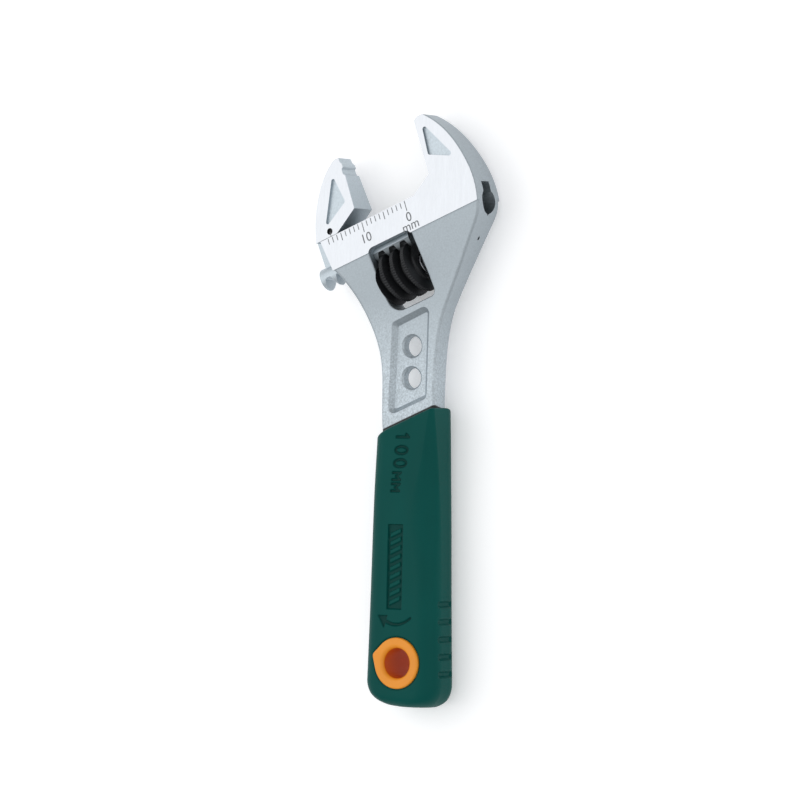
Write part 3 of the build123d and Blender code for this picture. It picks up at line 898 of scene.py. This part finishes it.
class WRENCH_OT_steel(bpy.types.Operator):
    """Finish the forged body and the movable jaw"""
    bl_idname = "wrench.steel"
    bl_label = "Body and jaw"

    def execute(self, context):
        settings = context.scene.wrench_steel
        polished = polished_finish("ground_faces", settings)
        # painted shade: the black oxide finish stands in for the shade inside the bore, its slot and the index pit
        hollow_shade = black_finish("oily_hollow", settings)
        # painted light: the recessed pocket floors get the blasted skin 1.35 times lighter
        pocket = satin_finish("blasted_pocket", settings, 0.38, 0.03, 1.35)
        skin = satin_finish("blasted_forging", settings)
        jaw_skin = satin_finish("blasted_jaw", settings, 0.22, 0.010, 1.3)
        # the rack's copy of the skin at half brightness: painted shade
        rack_shade = satin_finish("oily_rack", settings, 0.22, 0.012, 0.5)
        finish_head_part("body", (skin, polished, pocket, hollow_shade, rack_shade), bore_faces, -1.0)
        finish_head_part("movable_jaw", (jaw_skin, polished, pocket, hollow_shade, rack_shade), pit_faces, -4.0 * MM)
        return {"FINISHED"}


class WRENCH_OT_small_parts(bpy.types.Operator):
    """Finish the worm's pin and its spring"""
    bl_idname = "wrench.small_parts"
    bl_label = "Pin and spring"

    def execute(self, context):
        for node, tint, ring in (("worm_pin", (0.55, 0.57, 0.60), 0.15 * MM),
                                 ("worm_spring", (0.40, 0.41, 0.43), 0.08 * MM)):
            mesh = frame["nodes"][node].data
            mesh.materials.clear()
            mesh.materials.append(turned_finish(node + "_steel", tint, ring))
        return {"FINISHED"}


class WRENCH_OT_core(bpy.types.Operator):
    """Finish the orange core and its hang ring"""
    bl_idname = "wrench.core"
    bl_label = "Core and ring"

    def execute(self, context):
        mesh = frame["nodes"]["handle_core"].data
        orange = context.scene.wrench_grip.orange
        mesh.materials.clear()
        mesh.materials.append(plastic_finish("orange_core", orange))
        # painted shade: the ring's bore gets a darker, redder copy of the orange
        shaded = [channel * share for channel, share in zip(orange, (0.80, 0.42, 0.30))]
        mesh.materials.append(plastic_finish("orange_bore", shaded))
        centre = np.empty(len(mesh.polygons) * 3, np.float32)
        mesh.polygons.foreach_get("center", centre)
        offset = centre.reshape(-1, 3).astype(float) - HANG_HOLE
        inside = np.hypot(offset[:, 0], offset[:, 1]) < HANG_RADIUS * 1.01
        mesh.polygons.foreach_set("material_index", inside.astype(np.int32))
        return {"FINISHED"}


class WRENCH_OT_grip(bpy.types.Operator):
    """Make the moulded grip with its facet, markings and finger grooves"""
    bl_idname = "wrench.grip"
    bl_label = "Grip"

    def execute(self, context):
        settings = context.scene.wrench_grip
        grip = capped_surface("grip_moulding", grip_skin(settings))
        place = np.array([HANG_HOLE[0], HANDLE_Y, 0])
        height = 2.4 * MIDDLE_Z
        cutter = flat_piece(
            "ring_cutter", teardrop_outline(), height,
            lambda points: points + place + np.array([0, 0, MIDDLE_Z - height / 2]))
        cut_with(grip, cutter)
        set_sunk(grip, settings)
        smooth_faces(grip)
        dress(grip, "wrench", rubber_finish("green_elastomer", settings.green))
        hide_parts("grip")
        return {"FINISHED"}


class WRENCH_OT_worm(bpy.types.Operator):
    """Make the knurled adjusting worm"""
    bl_idname = "wrench.worm"
    bl_label = "Worm"

    def execute(self, context):
        grid = worm_skin(context.scene.wrench_worm)
        rows, columns = grid.shape[:2]
        worm = piece_from("knurled_worm", grid, grid_faces(rows, columns, close_rows=True).tolist())
        smooth_faces(worm, radians(40))
        dress(worm, "worm_wheel", black_finish("black_oxide", context.scene.wrench_steel))
        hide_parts("worm")
        return {"FINISHED"}


class WRENCH_OT_scale(bpy.types.Operator):
    """Mark the millimetre scale, its figures and the jaw's index line"""
    bl_idname = "wrench.scale"
    bl_label = "Scale"

    def execute(self, context):
        ink = ink_finish("etched_line")
        zero, count = -6.6, 19
        tens, fives, ones = 1.95, 1.5, 1.1
        ticks = [tick("tick", zero - i, tens if i % 10 == 0 else fives if i % 5 == 0 else ones)
                 for i in range(count)]
        figures = [lettering("figure", text, zero + aside, v, 1.75)
                   for text, aside, v in (("0", 0.05, -3.35), ("10", -9.95, -3.35), ("mm", -0.05, -5.0))]
        scale = join(ticks + figures, "scale_marks")
        dress(scale, "wrench", ink)
        index = tick("index_line", -23.8, 0.9)
        shift = Vector((ACROSS * 1.0 * MM).tolist()) + Vector((0, 0, -FACE_FALL * 1.0 * MM))
        index.data.transform(Matrix.Translation(shift))
        dress(index, "jaw", ink)
        return {"FINISHED"}


class WRENCH_PT_panel(bpy.types.Panel):
    """Lists the steps that finish the wrench"""
    bl_idname = "WRENCH_PT_panel"
    bl_label = "Adjustable wrench"
    bl_space_type = "VIEW_3D"
    bl_region_type = "UI"
    bl_category = "Wrench"

    def draw(self, context):
        for operator in OPERATORS:
            self.layout.operator(operator.bl_idname)


SETTINGS = {
    "wrench_grip": GripSettings,
    "wrench_steel": SteelSettings,
    "wrench_worm": WormSettings,
    "wrench_studio": StudioSettings,
}
OPERATORS = (WRENCH_OT_stage, WRENCH_OT_steel, WRENCH_OT_small_parts, WRENCH_OT_core, WRENCH_OT_grip,
             WRENCH_OT_worm, WRENCH_OT_scale)


def register():
    for made in (*SETTINGS.values(), *OPERATORS, WRENCH_PT_panel):
        bpy.utils.register_class(made)
    for name, group in SETTINGS.items():
        setattr(bpy.types.Scene, name, bpy.props.PointerProperty(type=group))


def unregister():
    for name in SETTINGS:
        delattr(bpy.types.Scene, name)
    for made in (WRENCH_PT_panel, *reversed(OPERATORS), *reversed(list(SETTINGS.values()))):
        bpy.utils.unregister_class(made)


def main():
    register()
    for operator in OPERATORS:
        group, name = operator.bl_idname.split(".")
        if getattr(getattr(bpy.ops, group), name)() != {"FINISHED"}:
            raise RuntimeError(f"{operator.bl_label} did not finish")


if __name__ == "__main__":
    main()
